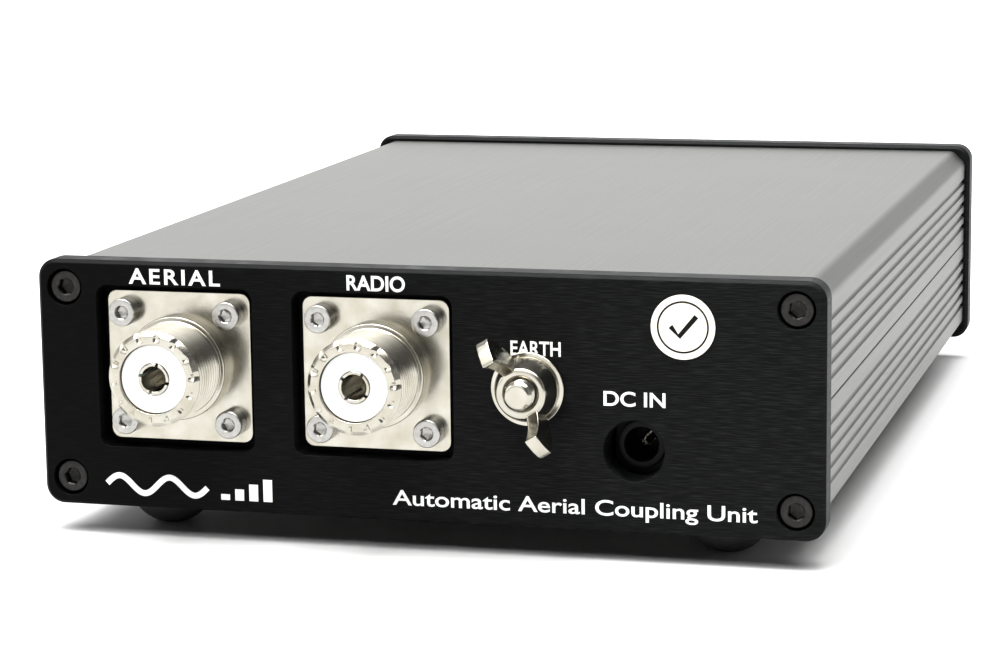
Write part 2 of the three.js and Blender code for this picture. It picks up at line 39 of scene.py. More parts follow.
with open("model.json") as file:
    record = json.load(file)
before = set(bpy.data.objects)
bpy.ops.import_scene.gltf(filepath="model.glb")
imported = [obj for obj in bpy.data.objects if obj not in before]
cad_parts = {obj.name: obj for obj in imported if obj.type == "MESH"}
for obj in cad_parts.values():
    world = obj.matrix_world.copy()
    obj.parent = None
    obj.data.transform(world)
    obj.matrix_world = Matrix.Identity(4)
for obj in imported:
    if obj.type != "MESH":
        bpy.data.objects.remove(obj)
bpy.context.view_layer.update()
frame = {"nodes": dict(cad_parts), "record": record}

MM = 0.001
MERGE = 0.0002
RIGHT_ANGLE = math.pi / 2


# ---- Places taken from the frame ----

def box_mm(node):
    low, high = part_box(node)
    return low / MM, high / MM


def centre_mm(node):
    low, high = box_mm(node)
    return (low + high) / 2


PLATE_LOW, PLATE_HIGH = box_mm("connector_plate")
UPPER_LOW = box_mm("case_upper_shell")[0]
LOWER_HIGH = box_mm("case_lower_shell")[1]
FRONT_Y = PLATE_LOW.y
REAR_Y = box_mm("control_plate")[1].y
PLATE_THICKNESS = PLATE_HIGH.y - PLATE_LOW.y
PLATE_WIDTH = PLATE_HIGH.x - PLATE_LOW.x
PLATE_HEIGHT = PLATE_HIGH.z - PLATE_LOW.z
MID_Z = (UPPER_LOW.z + LOWER_HIGH.z) / 2
CORNERS = {"upper_left": (-1, 1), "upper_right": (1, 1), "lower_left": (-1, -1), "lower_right": (1, -1)}


# ---- Outlines ----

def softened(points, reach, steps=3, closed=False):
    """The polyline with each corner turned into a short curve that starts `reach` before it.
    reach is one number, or one for each point."""
    reaches = reach if isinstance(reach, (list, tuple)) else [reach] * len(points)
    made = []
    for i, point in enumerate(points):
        corner = Vector(point)
        if not closed and i in (0, len(points) - 1):
            made.append(corner)
            continue
        back = Vector(points[i - 1]) - corner
        ahead = Vector(points[(i + 1) % len(points)]) - corner
        cut = min(reaches[i], 0.45 * back.length, 0.45 * ahead.length)
        if cut < MERGE:
            made.append(corner)
            continue
        start, end = corner + cut * back.normalized(), corner + cut * ahead.normalized()
        for step in range(steps + 1):
            t = step / steps
            made.append((1 - t) ** 2 * start + 2 * t * (1 - t) * corner + t * t * end)
    return made


def curve_through(points, steps=6):
    """A smooth line through the points."""
    ends = [Vector(points[0]) * 2 - Vector(points[1]), *map(Vector, points)]
    ends.append(Vector(points[-1]) * 2 - Vector(points[-2]))
    made = []
    for a, b, c, d in zip(ends, ends[1:], ends[2:], ends[3:]):
        for step in range(steps):
            t = step / steps
            made.append(0.5 * ((2 * b) + (c - a) * t + (2 * a - 5 * b + 4 * c - d) * t ** 2
                               + (3 * b - a - 3 * c + d) * t ** 3))
    made.append(Vector(points[-1]))
    return made


def arc(centre, radii, start, end, steps):
    made = []
    for step in range(steps + 1):
        angle = start + (end - start) * step / steps
        across, along = radii[0] * math.cos(angle), radii[1] * math.sin(angle)
        made.append(Vector((centre[0] + across, centre[1] + along)))
    return made


def round_box(width, height, radius, steps=8):
    """An outline in X and Z with four round corners."""
    x, z = width / 2 - radius, height / 2 - radius
    made = []
    for quarter, (i, k) in enumerate(((1, 1), (-1, 1), (-1, -1), (1, -1))):
        start = quarter * RIGHT_ANGLE
        made += arc((i * x, k * z), (radius, radius), start, start + RIGHT_ANGLE, steps)
    return made


def circle(radius, segments=64):
    return arc((0, 0), (radius, radius), 0, 2 * math.pi, segments)[:-1]


def hexagon(across_flats, segments):
    """A hexagon sampled at as many angles as a circle, so that the two can be bridged."""
    made = []
    for step in range(segments):
        angle = 2 * math.pi * step / segments
        off_flat = (angle + math.pi / 6) % (math.pi / 3) - math.pi / 6
        radius = across_flats / 2 / math.cos(off_flat)
        made.append(Vector((radius * math.cos(angle), radius * math.sin(angle))))
    return made


# ---- Shells: a vertex list and a face list in millimetres ----

def lofted(rows, wrap=False, capped=False):
    """Skin over rows of points, each row a closed loop. Each row is (outline in X and Z, y)."""
    count = len(rows[0][0])
    vertices = [Vector((p[0], y, p[1])) for outline, y in rows for p in outline]
    faces = []
    pairs = list(zip(range(len(rows)), range(1, len(rows))))
    if wrap:
        pairs.append((len(rows) - 1, 0))
    for a, b in pairs:
        for i in range(count):
            j = (i + 1) % count
            faces.append((a * count + i, a * count + j, b * count + j, b * count + i))
    if capped:
        faces.append(tuple(range(count)))
        faces.append(tuple(range((len(rows) - 1) * count, len(rows) * count)))
    return vertices, faces


def turned(profile, segments=64, wrap=False):
    """A body of revolution about Y. The profile is (radius, y)."""
    return lofted([(circle(max(r, 0), segments), y) for r, y in profile], wrap=wrap)


def prism(outline, start, end):
    return lofted([(outline, start), (outline, end)], capped=True)


def blunt_prism(shape, start, end, edge, steps=3):
    """A prism with rounded end edges. shape(inset) gives the outline drawn in by that much."""
    profile = softened([(2 * edge, start), (0, start), (0, end), (2 * edge, end)], edge, steps)
    return lofted([(shape(inset), y) for inset, y in profile], capped=True)


def thread(radius, depth, pitch, start, end, segments):
    """A right-hand thread about Y that fades into a plain cylinder at both ends."""
    turn = [(0, 0), (0.125, 0), (0.28, 0.5), (0.4375, 1), (0.6875, 1), (0.845, 0.5)]
    turns = math.ceil((end - start) / pitch) + 1
    rows = [(cycle + t, height) for cycle in range(turns) for t, height in turn]
    vertices, faces = [], []
    for along, height in rows:
        for step in range(segments + 1):
            angle = 2 * math.pi * step / segments
            y = min(max(start + pitch * (along - step / segments), start), end)
            fade = min(1, (y - start) / (0.4 * pitch), (end - y) / (0.4 * pitch))
            r = radius - depth * height * fade
            vertices.append(Vector((r * math.cos(angle), y, r * math.sin(angle))))
    for row in range(len(rows) - 1):
        for step in range(segments):
            a = row * (segments + 1) + step
            faces.append((a, a + 1, a + segments + 2, a + segments + 1))
    return vertices, faces


def moved(shell, offset, turn=0.0):
    """The shell turned about Y, in radians, and then moved."""
    rotation = Matrix.Rotation(turn, 3, "Y")
    return [rotation @ v + Vector(offset) for v in shell[0]], shell[1]


def about_face(shell):
    """The shell turned half round about Z, to face the other way along Y."""
    return [Vector((-v.x, -v.y, v.z)) for v in shell[0]], shell[1]


# ---- Objects ----

def to_object(name, shells):
    build = bmesh.new()
    for vertices, faces in shells:
        made = [build.verts.new(v * MM) for v in vertices]
        for face in faces:
            build.faces.new([made[i] for i in face])
    bmesh.ops.remove_doubles(build, verts=build.verts, dist=MERGE * MM)
    bmesh.ops.dissolve_degenerate(build, edges=build.edges, dist=MERGE * MM)
    bmesh.ops.recalc_face_normals(build, faces=build.faces)
    mesh = bpy.data.meshes.new(name)
    build.to_mesh(mesh)
    build.free()
    made = bpy.data.objects.new(name, mesh)
    bpy.context.scene.collection.objects.link(made)
    return made


def bake(obj):
    """Applies the object's modifiers."""
    bpy.context.view_layer.update()
    final = obj.evaluated_get(bpy.context.evaluated_depsgraph_get())
    mesh = bpy.data.meshes.new_from_object(final)
    obj.modifiers.clear()
    obj.data = mesh


def combine(obj, shells, operation="DIFFERENCE"):
    """Cuts the shells out of the object, or joins them to it."""
    tools = []
    for i, shell in enumerate(shells):
        tool = to_object(f"tool_{i}", [shell])
        modifier = obj.modifiers.new(f"tool_{i}", "BOOLEAN")
        modifier.operation = operation
        modifier.solver = "EXACT"
        modifier.object = tool
        tools.append(tool)
    bake(obj)
    for tool in tools:
        bpy.data.objects.remove(tool)


def shade(obj, angle=30):
    """Smooth shading with hard edges above the angle, and flat faces kept flat."""
    for polygon in obj.data.polygons:
        polygon.use_smooth = True
    obj.data.set_sharp_from_angle(angle=math.radians(angle))
    normals = obj.modifiers.new("flat_faces", "WEIGHTED_NORMAL")
    normals.keep_sharp = True
    normals.weight = 80
    return obj


def settle(obj, material, body="housing", nodes=()):
    """Gives a piece its finish and its body, and hides the CAD nodes it stands for."""
    obj.data.materials.clear()
    obj.data.materials.append(material)
    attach(obj, body)
    if nodes:
        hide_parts(*nodes)


def shaped(node, shells, material, slot, body="housing", cuts=(), joins=(), angle=30):
    """A detailed piece that stands for one CAD node."""
    obj = to_object(node + "_shape", shells)
    if joins:
        combine(obj, joins, "UNION")
    if cuts:
        combine(obj, cuts)
    settle(shade(obj, angle), material, body, [node])


# ---- Materials ----

def add_node(tree, kind, inputs, settings):
    """A shader node, with each input linked to a socket or set to a value."""
    made = tree.nodes.new(kind)
    for key, value in settings.items():
        setattr(made, key, value)
    for key, value in inputs.items():
        if isinstance(value, bpy.types.NodeSocket):
            tree.links.new(value, made.inputs[key])
        else:
            made.inputs[key].default_value = value
    return made


class Finish:
    """A Principled material whose textures lie in the row frame, in millimetres."""

    def __init__(self, name, colour, roughness, metallic=0.0, specular=0.5):
        self.material = bpy.data.materials.new(name)
        self.material.use_nodes = True
        self.tree = self.material.node_tree
        self.shader = self.tree.nodes["Principled BSDF"]
        self.shader.inputs["Base Color"].default_value = (*colour, 1)
        self.shader.inputs["Roughness"].default_value = roughness
        self.shader.inputs["Metallic"].default_value = metallic
        self.shader.inputs["Specular IOR Level"].default_value = specular
        self.place = self.tree.nodes.new("ShaderNodeTexCoord").outputs["Object"]
        self.normal = None

    def node(self, kind, inputs, **settings):
        return add_node(self.tree, kind, inputs, settings)

    def noise(self, size, stretch=(1, 1, 1), detail=3.0, distortion=0.0):
        """Noise with features about `size` millimetres wide, stretched along each axis."""
        scale = tuple(1 / (MM * size * s) for s in stretch)
        mapping = self.node("ShaderNodeMapping", {"Vector": self.place, "Scale": scale})
        inputs = {"Vector": mapping.outputs["Vector"], "Scale": 1.0, "Detail": detail}
        inputs["Distortion"] = distortion
        return self.node("ShaderNodeTexNoise", inputs).outputs["Fac"]

    def spread(self, source, low, high, start=0.3, end=0.7):
        """The source's middle range, spread from low to high."""
        inputs = {"Value": source, "From Min": start, "From Max": end, "To Min": low, "To Max": high}
        return self.node("ShaderNodeMapRange", inputs).outputs["Result"]

    def math(self, operation, *values):
        return self.node("ShaderNodeMath", dict(enumerate(values)), operation=operation).outputs[0]

    def tint(self, factor, other):
        """Mixes the colour so far with another one."""
        base = self.shader.inputs["Base Color"]
        before = base.links[0].from_socket if base.links else tuple(base.default_value)
        inputs = {0: factor, 6: before, 7: (*other, 1)}
        mix = self.node("ShaderNodeMix", inputs, data_type="RGBA")
        self.tree.links.new(mix.outputs[2], base)
        return self

    def rough(self, source):
        self.tree.links.new(source, self.shader.inputs["Roughness"])
        return self

    def bump(self, height, depth, strength=1.0):
        """Relief of `depth` millimetres, on top of any bump so far."""
        inputs = {"Height": height, "Distance": depth * MM, "Strength": strength}
        if self.normal:
            inputs["Normal"] = self.normal
        self.normal = self.node("ShaderNodeBump", inputs).outputs["Normal"]
        self.tree.links.new(self.normal, self.shader.inputs["Normal"])
        return self


def case_aluminium():
    """Fine bead-blasted and clear anodised, with faint drawing lines along the extrusion."""
    finish = Finish("case_aluminium", (0.36, 0.365, 0.352), 0.36, metallic=1.0)
    finish.shader.inputs["Specular Tint"].default_value = (0.6, 0.6, 0.6, 1)
    grain = finish.noise(0.16, detail=2)
    drawn = finish.noise(0.35, stretch=(1, 160, 1), detail=3)
    cloud = finish.noise(22, detail=2)
    finish.tint(finish.spread(drawn, 0, 0.35), (0.325, 0.33, 0.32))
    finish.tint(finish.spread(cloud, 0, 0.25), (0.39, 0.392, 0.38))
    finish.rough(finish.math("ADD", finish.spread(grain, 0.30, 0.40), finish.spread(drawn, 0, 0.05)))
    finish.bump(grain, 0.004)
    return finish.bump(drawn, 0.0012).material


def plate_black():
    """Black anodised aluminium, brushed from side to side, with painted sheen: the colour and the brush
    strokes are painted paler towards its +X end, where the brushing catches more light.
    """
    finish = Finish("plate_black", (0.0022, 0.0022, 0.0023), 0.38, specular=0.06)
    strokes = finish.noise(0.17, stretch=(22, 22, 1), detail=3)
    fine = finish.noise(0.12, stretch=(60, 60, 1), detail=2)
    # painted sheen: the ramp along X below makes the plate paler towards +X, standing in for light that the
    # brushing reflects on that side
    along = finish.node("ShaderNodeSeparateXYZ", {"Vector": finish.place}).outputs["X"]
    painted_sheen = finish.spread(along, 0.15, 1, -0.05, 0.06)
    finish.tint(painted_sheen, (0.0085, 0.009, 0.009))
    # painted highlight on the brush strokes, laid only where the painted sheen ramp is
    bright = finish.spread(strokes, 0, 1, 0.45, 0.68)
    finish.tint(finish.math("MULTIPLY", painted_sheen, bright), (0.024, 0.025, 0.025))
    finish.rough(finish.math("ADD", finish.spread(strokes, 0.34, 0.46), finish.spread(fine, -0.03, 0.03)))
    finish.bump(strokes, 0.003)
    return finish.bump(fine, 0.0015).material


def screw_black():
    """Black oxide steel, slightly brown where it is worn."""
    finish = Finish("screw_black", (0.036, 0.035, 0.034), 0.28, metallic=0.9)
    wear = finish.noise(0.7, detail=4)
    grain = finish.noise(0.08, detail=2)
    finish.tint(finish.spread(wear, 0, 0.8, 0.45, 0.75), (0.06, 0.057, 0.053))
    finish.rough(finish.spread(grain, 0.30, 0.48))
    return finish.bump(grain, 0.004).material


def screw_stainless():
    finish = Finish("screw_stainless", (0.44, 0.435, 0.42), 0.26, metallic=1.0)
    patch = finish.noise(0.9, detail=3)
    grain = finish.noise(0.06, detail=2)
    finish.tint(finish.spread(patch, 0, 0.7), (0.33, 0.32, 0.30))
    finish.rough(finish.spread(grain, 0.2, 0.36))
    return finish.bump(grain, 0.003).material


def nickel():
    """Bright nickel plate with a faint haze and fine polishing scratches."""
    finish = Finish("nickel", (0.50, 0.485, 0.435), 0.19, metallic=1.0)
    haze = finish.noise(3.5, detail=4)
    scratch = finish.noise(0.05, stretch=(30, 1, 1), detail=2)
    finish.tint(finish.spread(haze, 0, 0.8), (0.40, 0.375, 0.31))
    finish.rough(finish.math("ADD", finish.spread(haze, 0.16, 0.24), finish.spread(scratch, -0.02, 0.03)))
    return finish.bump(scratch, 0.0006).material


def insulator_white():
    finish = Finish("insulator_white", (0.95, 0.95, 0.945), 0.42, specular=0.45)
    finish.shader.inputs["Subsurface Weight"].default_value = 0.15
    finish.shader.inputs["Subsurface Scale"].default_value = 0.6 * MM
    cloud = finish.noise(2.5, detail=3)
    turning = finish.noise(0.12, detail=2)
    finish.tint(finish.spread(cloud, 0, 0.5), (0.92, 0.92, 0.905))
    finish.rough(finish.spread(cloud, 0.36, 0.48))
    return finish.bump(turning, 0.002).material


def plastic_black():
    finish = Finish("plastic_black", (0.005, 0.005, 0.0055), 0.38, specular=0.16)
    texture = finish.noise(0.12, detail=2)
    cloud = finish.noise(4, detail=3)
    finish.tint(finish.spread(cloud, 0, 0.6), (0.009, 0.009, 0.0095))
    finish.rough(finish.spread(texture, 0.32, 0.46))
    return finish.bump(texture, 0.006).material


def rubber_black():
    finish = Finish("rubber_black", (0.05, 0.05, 0.05), 0.55, specular=0.45)
    grain = finish.noise(0.1, detail=3)
    dust = finish.noise(1.6, detail=4)
    finish.tint(finish.spread(dust, 0, 0.5, 0.5, 0.75), (0.08, 0.08, 0.077))
    finish.rough(finish.spread(grain, 0.52, 0.68))
    return finish.bump(grain, 0.01).material


def print_white():
    """Screen-printed ink, a little thin in places."""
    finish = Finish("print_white", (0.97, 0.97, 0.96), 0.5)
    thin = finish.noise(0.25, detail=4)
    finish.tint(finish.spread(thin, 0, 0.7, 0.5, 0.8), (0.84, 0.84, 0.83))
    finish.rough(finish.spread(thin, 0.42, 0.58))
    return finish.bump(thin, 0.003).material


def sticker_white():
    finish = Finish("sticker_white", (0.94, 0.89, 0.79), 0.45)
    fibre = finish.noise(0.2, detail=4)
    finish.tint(finish.spread(fibre, 0, 0.5), (0.90, 0.85, 0.74))
    finish.rough(finish.spread(fibre, 0.38, 0.52))
    return finish.bump(fibre, 0.002).material


def board_green():
    """Solder mask over a pattern of copper tracks."""
    finish = Finish("board_green", (0.018, 0.10, 0.035), 0.35)
    inputs = {"Vector": finish.place, "Scale": 1 / (3.2 * MM)}
    cells = finish.node("ShaderNodeTexVoronoi", inputs, distance="MANHATTAN")
    tracks = finish.math("PINGPONG", cells.outputs["Distance"], 0.11)
    edge = finish.spread(tracks, 0, 1, 0.045, 0.06)
    finish.tint(edge, (0.035, 0.16, 0.06))
    finish.rough(finish.spread(finish.noise(0.3), 0.28, 0.42))
    return finish.bump(edge, 0.03).material


def relay_case():
    finish = Finish("relay_case", (0.78, 0.74, 0.65), 0.45)
    cloud = finish.noise(3, detail=3)
    finish.tint(finish.spread(cloud, 0, 0.5), (0.72, 0.68, 0.58))
    finish.rough(finish.spread(finish.noise(0.15), 0.38, 0.52))
    return finish.bump(finish.noise(0.15), 0.006).material


def coil_core():
    finish = Finish("coil_core", (0.42, 0.05, 0.03), 0.5)
    grain = finish.noise(0.25, detail=3)
    finish.tint(finish.spread(grain, 0, 0.6), (0.30, 0.035, 0.02))
    finish.rough(finish.spread(grain, 0.4, 0.6))
    return finish.bump(grain, 0.02).material


def battery_sleeve():
    finish = Finish("battery_sleeve", (0.035, 0.13, 0.42), 0.3)
    creases = finish.noise(5, stretch=(1, 0.3, 1), detail=4, distortion=0.4)
    finish.tint(finish.spread(creases, 0, 0.5), (0.028, 0.10, 0.34))
    finish.rough(finish.spread(creases, 0.22, 0.38))
    return finish.bump(creases, 0.12).material


def wire_red():
    finish = Finish("wire_red", (0.36, 0.03, 0.025), 0.42)
    cloud = finish.noise(1.2, detail=3)
    finish.tint(finish.spread(cloud, 0, 0.5), (0.29, 0.025, 0.02))
    finish.rough(finish.spread(cloud, 0.36, 0.5))
    return finish.bump(cloud, 0.01).material


def lamp(name, colour, deep):
    """A diffused lens, paler where it is thin."""
    finish = Finish(name, colour, 0.22)
    finish.shader.inputs["Subsurface Weight"].default_value = 0.4
    finish.shader.inputs["Subsurface Scale"].default_value = 0.8 * MM
    cloud = finish.noise(0.6, detail=3)
    finish.tint(finish.spread(cloud, 0, 0.5), deep)
    finish.rough(finish.spread(cloud, 0.16, 0.3))
    return finish.bump(cloud, 0.006).material


FINISHES = {make.__name__: make() for make in (
    case_aluminium, plate_black, screw_black, screw_stainless, nickel, insulator_white, plastic_black,
    rubber_black, print_white, sticker_white, board_green, relay_case, coil_core, battery_sleeve, wire_red,
)}
FINISHES["lamp_red"] = lamp("lamp_red", (0.55, 0.03, 0.02), (0.42, 0.02, 0.015))
FINISHES["lamp_green"] = lamp("lamp_green", (0.03, 0.42, 0.07), (0.02, 0.31, 0.05))


def finish_of(slot):
    return {"material": FINISHES[slot], "slot": slot}


# ---- Case shells ----

CASE_FACET = 2.5
FACET_ROUND = 0.9
SIDE_WALL = 3.0
ROOF_WALL = 2.0
BLOCK_WIDTH = 4.6
BLOCK_HEIGHT = 6.0
GROOVES = [3.75 + 2.43 * i for i in range(5)]
GROOVE_HALF_WIDTH = 0.5
GROOVE_DEPTH = 0.5
GROOVE_LIP = 0.14
SEAM_EDGE = 0.12


def half_section(half_width, seam, top):
    """One shell's section as (x, height above the seam plane), with a block inside each corner."""
    lip = GROOVE_LIP
    outer = [Vector((half_width - SEAM_EDGE, seam)), Vector((half_width, seam + SEAM_EDGE))]
    for height in GROOVES:
        foot, head = height - GROOVE_HALF_WIDTH, height + GROOVE_HALF_WIDTH
        outer += arc((half_width - lip, foot - lip), (lip, lip), 0, RIGHT_ANGLE, 3)
        outer += arc((half_width - lip, height), (GROOVE_DEPTH - lip, GROOVE_HALF_WIDTH),
                     1.5 * math.pi, 0.5 * math.pi, 12)[1:-1]
        outer += arc((half_width - lip, head + lip), (lip, lip), -RIGHT_ANGLE, 0, 3)
    side_end, roof_end = Vector((half_width, top - CASE_FACET)), Vector((half_width - CASE_FACET, top))
    corner = [outer[-1], side_end, roof_end, Vector((0, top))]
    outer += softened(corner, [0, FACET_ROUND, FACET_ROUND, 0], steps=6)[1:-1]

    wall, roof = half_width - SIDE_WALL, top - ROOF_WALL
    inner = [Vector((wall, seam)), Vector((wall, roof - BLOCK_HEIGHT)),
             Vector((wall - BLOCK_WIDTH, roof - BLOCK_HEIGHT)), Vector((wall - BLOCK_WIDTH, roof))]
    mirrored = [Vector((-p.x, p.y)) for p in outer]
    mirrored_inner = [Vector((-p.x, p.y)) for p in inner]
    return outer + mirrored[::-1] + mirrored_inner + inner[::-1]


def case_shell(node, up):
    low, high = box_mm(node)
    seam = (UPPER_LOW.z - LOWER_HIGH.z) / 2
    section = half_section(high.x, seam, max(high.z - MID_Z, MID_Z - low.z))
    outline = [(p.x, MID_Z + up * p.y) for p in section]
    shaped(node, [prism(outline, low.y, high.y)], angle=38, **finish_of("case_aluminium"))


# ---- End plates ----

PLATE_CORNER = 3.2
PLATE_CHAMFER = 0.6
EDGE = 0.13
COUNTERBORE_RADIUS = 3.1
COUNTERBORE_DEPTH = 3.6
SCREW_HOLE = 1.7
POCKET = 27.5
POCKET_CORNER = 2.0
POCKET_DEPTH = 3.93


def plate_blank():
    """The blank, with its front face at y = 0 and its middle at the origin."""
    chamfer = PLATE_CHAMFER
    profile = softened([(2 * chamfer, 0), (chamfer, 0), (0, chamfer), (0, PLATE_THICKNESS - chamfer),
                        (chamfer, PLATE_THICKNESS), (2 * chamfer, PLATE_THICKNESS)], EDGE)
    rows = []
    for inset, y in profile:
        size = (PLATE_WIDTH - 2 * inset, PLATE_HEIGHT - 2 * inset)
        rows.append((round_box(*size, PLATE_CORNER - inset), y))
    return lofted(rows, capped=True)


def mouth(shape, depth, edge=EDGE, steps=3):
    """A cutter from in front of y = 0 down to the depth, with a flared mouth that rounds the edge.
    shape(grow) gives the hole's outline, grown by that much."""
    rows = [(shape(edge), -1)]
    for step in range(steps + 1):
        angle = RIGHT_ANGLE * step / steps
        rows.append((shape(edge * (1 - math.sin(angle))), edge * (1 - math.cos(angle))))
    rows.append((shape(0), depth))
    return lofted(rows, capped=True)


def round_mouth(x, z, radius, depth, edge=EDGE, segments=64):
    return moved(mouth(lambda grow: circle(radius + grow, segments), depth, edge), (x, 0, z))


def plate_screw_cuts():
    """Counterbores and clearance holes, about the plate's middle."""
    made = []
    for corner, (i, k) in CORNERS.items():
        place = centre_mm("connector_plate_screw_" + corner)
        x, z = place.x, place.z - MID_Z
        made.append(round_mouth(x, z, COUNTERBORE_RADIUS, COUNTERBORE_DEPTH))
        made.append(moved(prism(circle(SCREW_HOLE, 32), 1, PLATE_THICKNESS + 1), (x, 0, z)))
    return made


THROUGH = 8.0
STUD_HOLE = 2.7
CHARGER_HOLE = 5.0
SPIGOT_HOLE = 6.8
CONTROL_HOLES = {"tune_button": 4.3, "power_button": 4.3, "transmit_lamp": 1.65, "ready_lamp": 1.65}


def pocket_outline(grow):
    return round_box(POCKET + 2 * grow, POCKET + 2 * grow, POCKET_CORNER + grow)


def connector_plate():
    cuts = plate_screw_cuts()
    for name in ("antenna", "radio"):
        place = centre_mm(name + "_socket_shell")
        x, z = place.x, place.z - MID_Z
        cuts.append(moved(mouth(pocket_outline, POCKET_DEPTH), (x, 0, z)))
        cuts.append(moved(prism(circle(SPIGOT_HOLE), 1, THROUGH), (x, 0, z)))
    stud, jack = centre_mm("ground_washer"), centre_mm("charger_jack_pin")
    cuts.append(round_mouth(stud.x, stud.z - MID_Z, STUD_HOLE, THROUGH))
    cuts.append(round_mouth(jack.x, jack.z - MID_Z, CHARGER_HOLE, THROUGH, edge=0.22, segments=96))
    offset = (0, FRONT_Y, MID_Z)
    shaped("connector_plate", [moved(plate_blank(), offset)], cuts=[moved(cut, offset) for cut in cuts],
           **finish_of("plate_black"))


def control_plate():
    cuts = plate_screw_cuts()
    for node, radius in CONTROL_HOLES.items():
        cuts.append(round_mouth(-centre_mm(node).x, 0, radius, THROUGH))
    offset = (0, REAR_Y, MID_Z)
    blank = moved(about_face(plate_blank()), offset)
    shaped("control_plate", [blank], cuts=[moved(about_face(cut), offset) for cut in cuts],
           **finish_of("plate_black"))


# ---- Cap screws ----

SCREW_SEGMENTS = 48


def cap_screw(head, height, key, depth, shank, length):
    """A socket-head cap screw along +Y, with its seat at y = 0."""
    def round_row(radius, y):
        return circle(radius, SCREW_SEGMENTS), y

    top = -height
    rows = [round_row(0.0, top + depth + 0.4), (hexagon(key, SCREW_SEGMENTS), top + depth),
            (hexagon(key, SCREW_SEGMENTS), top + 0.16), round_row(key / math.sqrt(3) + 0.06, top)]
    outline = [(0.7 * head, top), (head, top), (head, 0), (shank, 0), (shank, length), (0, length)]
    profile = softened(outline, [0, 0.18 * head, 0.1, 0.05, 0.4, 0], steps=5)
    rows += [round_row(r, y) for r, y in profile]
    return lofted(rows)


PLATE_SCREW = {"head": 2.75, "height": 3.0, "key": 2.5, "depth": 1.8, "shank": 1.4, "length": 12}
FLANGE_SCREW = {"head": 2.35, "height": 2.6, "key": 2.0, "depth": 1.3, "shank": 1.2, "length": 5}


def plate_screws():
    for corner in CORNERS:
        turn = random.uniform(0, math.pi / 3)
        near, far = ("connector_plate_screw_" + corner, "control_plate_screw_" + corner)
        place = centre_mm(near)
        screw = moved(cap_screw(**PLATE_SCREW), (place.x, FRONT_Y + COUNTERBORE_DEPTH, place.z), turn)
        shaped(near, [screw], **finish_of("screw_black"))
        place = centre_mm(far)
        seat = (place.x, REAR_Y - COUNTERBORE_DEPTH, place.z)
        screw = moved(about_face(cap_screw(**PLATE_SCREW)), seat, turn)
        shaped(far, [screw], **finish_of("screw_black"))


# ---- Coaxial sockets ----

FLANGE_Y = FRONT_Y + 2.3
FLANGE = 25.4
FLANGE_CORNER = 1.7
FLANGE_THICKNESS = 1.6
FLANGE_SCREW_OFFSET = 9.2
FLANGE_HOLE = 1.6
BARREL = 12.5
SHOULDER = 8.75
SHOULDER_LENGTH = 2.3
THREAD = 7.95
THREAD_DEPTH = 0.7
THREAD_PITCH = 25.4 / 24
RIM = 7.2
SPIGOT = 6.3
BORE = 5.8
BARREL_SEGMENTS = 144
NOTCHES = 14
NOTCH_DEPTH = 0.36
NOTCH_HALF_ANGLE = math.radians(3.8)
NOTCH_RADIUS = 6.3
NOTCH_TURN = math.radians(5.5)
INSULATOR = 5.72
INSULATOR_BORE = 2.72
INSULATOR_FRONT = -11.9
INSULATOR_BACK = 7.6
CONTACT = 2.65
CONTACT_BORE = 2.1
CONTACT_FRONT = -12.1
CONTACT_BACK = 8.4
CONTACT_SLOT = 0.5
CONTACT_TURN = {"antenna": math.radians(15), "radio": math.radians(35)}
SOLDER_TAIL = 1.5
SOLDER_TAIL_END = 12.0


def notch(angle):
    """How deep the rim is notched at this angle, from 0 to 1."""
    step = 2 * math.pi / NOTCHES
    away = abs((angle - NOTCH_TURN + step / 2) % step - step / 2)
    return 1 - min(max((away - 0.6 * NOTCH_HALF_ANGLE) / (0.5 * NOTCH_HALF_ANGLE), 0), 1)


def notched(shell):
    """The barrel with the outer part of its rim cut by notches: the rim's points are pushed back."""
    made = []
    for v in shell[0]:
        outwards = min(max((math.hypot(v.x, v.z) - NOTCH_RADIUS) / 0.35, 0), 1)
        floor = -BARREL + NOTCH_DEPTH * outwards * notch(math.atan2(v.z, v.x))
        made.append(Vector((v.x, max(v.y, floor), v.z)))
    return made, shell[1]


def socket_shell(name, place):
    thread_end = -SHOULDER_LENGTH - 0.35
    chamfer_end = -BARREL + 0.8
    rim = softened([(BORE, 6), (BORE, -BARREL), (NOTCH_RADIUS, -BARREL), (NOTCH_RADIUS + 0.35, -BARREL),
                    (RIM, -BARREL), (THREAD, chamfer_end)], [0, 0.12, 0, 0, 0.12, 0])
    back = softened([(THREAD, thread_end), (THREAD, -SHOULDER_LENGTH), (SHOULDER, -SHOULDER_LENGTH),
                     (SHOULDER, 0.8), (SPIGOT, 0.8), (SPIGOT, 6), (BORE, 6)], [0, 0.15, 0.25, 0, 0, 0.2, 0])
    barrel = notched(turned(rim, BARREL_SEGMENTS))
    screw = thread(THREAD, THREAD_DEPTH, THREAD_PITCH, chamfer_end, thread_end, BARREL_SEGMENTS)
    base = turned(back, BARREL_SEGMENTS)

    def outline(inset):
        return round_box(FLANGE - 2 * inset, FLANGE - 2 * inset, FLANGE_CORNER - inset)

    flange = blunt_prism(outline, 0, FLANGE_THICKNESS, 0.18)
    cuts = [prism(circle(SHOULDER - 0.4), -1, FLANGE_THICKNESS + 1)]
    for i, k in CORNERS.values():
        x, z = i * FLANGE_SCREW_OFFSET, k * FLANGE_SCREW_OFFSET
        cuts.append(round_mouth(x, z, FLANGE_HOLE, FLANGE_THICKNESS + 1, edge=0.1, segments=32))
    node = name + "_socket_shell"
    plate = to_object("flange", [moved(flange, place)])
    combine(plate, [moved(cut, place) for cut in cuts])
    obj = to_object(node + "_shape", [moved(part, place) for part in (barrel, screw, base)])
    build = bmesh.new()
    build.from_mesh(obj.data)
    build.from_mesh(plate.data)
    build.to_mesh(obj.data)
    build.free()
    bpy.data.objects.remove(plate)
    settle(shade(obj, 35), FINISHES["nickel"], nodes=[node])


